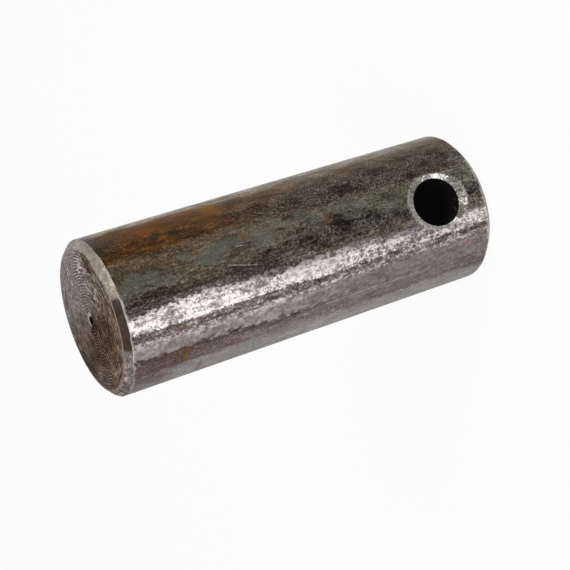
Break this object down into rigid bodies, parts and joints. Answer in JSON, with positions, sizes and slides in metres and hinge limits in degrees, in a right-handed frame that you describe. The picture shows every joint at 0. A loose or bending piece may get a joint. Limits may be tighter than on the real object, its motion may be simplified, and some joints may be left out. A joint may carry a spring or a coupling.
{
  "type": "cross-drilled retaining pin",
  "caption": "Plain round steel pin with bevelled ends and a countersunk cross hole near one end, which takes a split pin or bolt to keep it in its clevis.",
  "frame": {"origin": "centre of the end face beside the cross hole, on which the pin stands", "axes": "+Z along the pin towards its plain end, +X along the cross hole"},
  "size_m": [0.025, 0.025, 0.067],
  "materials": {
    "scaled_steel": "dark mill scale, rubbed bright in a band along one side, with brown rust, bare turned metal on the ends and in the countersinks"
  },
  "bodies": {
    "root": {"pin": "scaled_steel"}
  },
  "joints": []
}
